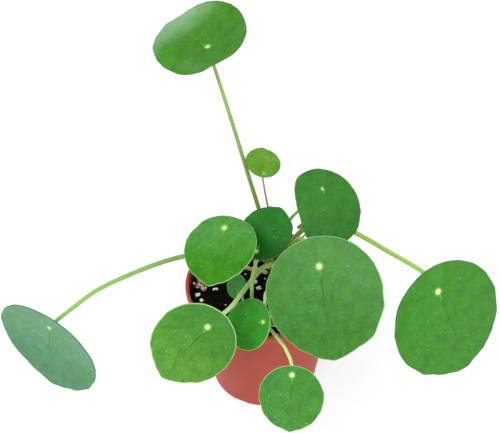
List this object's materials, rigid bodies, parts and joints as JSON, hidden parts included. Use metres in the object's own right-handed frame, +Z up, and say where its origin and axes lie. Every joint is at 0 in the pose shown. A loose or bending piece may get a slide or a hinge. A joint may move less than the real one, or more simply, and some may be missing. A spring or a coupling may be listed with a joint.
{
  "type": "potted chinese money plant",
  "caption": "House plant with round coin-like leaves on long arching stalks, growing from dark potting mix in a tapered terracotta-red plastic pot.",
  "frame": {"origin": "centre of the pot's underside, on the surface that it stands on", "axes": "+Z up along the pot's axis; -Y is the front, where the lowest leaf hangs over the rim; +X to the right seen from the front"},
  "size_m": [0.3159, 0.205, 0.248],
  "materials": {
    "pot": "satin",
    "mix": "matte",
    "stem": "matte",
    "blade": "satin",
    "stalk": "satin",
    "dried_stub": "matte",
    "bark": "matte",
    "perlite": "matte"
  },
  "bodies": {
    "root": {"pot": "pot", "potting_mix": "mix", "main_stem": "stem", "pup_stem": "stem", "blade_top": "blade", "stalk_top": "stalk", "blade_dome": "blade", "stalk_dome": "stalk", "blade_upper_right": "blade", "stalk_upper_right": "stalk", "blade_dark": "blade", "stalk_dark": "stalk", "blade_mid_left": "blade", "stalk_mid_left": "stalk", "blade_front": "blade", "stalk_front": "stalk", "blade_far_right": "blade", "stalk_far_right": "stalk", "blade_far_left": "blade", "stalk_far_left": "stalk", "blade_lower_left": "blade", "stalk_lower_left": "stalk", "blade_small_front": "blade", "stalk_small_front": "stalk", "blade_lowest_front": "blade", "stalk_lowest_front": "stalk", "blade_tiny_left": "blade", "stalk_tiny_left": "stalk", "blade_tiny_back": "blade", "stalk_tiny_back": "stalk", "blade_baby": "blade", "stalk_baby": "stalk", "dried_stub": "dried_stub", "bark_chip_1": "bark", "bark_chip_2": "bark", "bark_chip_3": "bark", "bark_chip_4": "bark", "bark_chip_5": "bark", "bark_chip_6": "bark", "perlite_1": "perlite", "perlite_2": "perlite", "perlite_3": "perlite", "perlite_4": "perlite", "perlite_5": "perlite", "perlite_6": "perlite"}
  },
  "joints": []
}
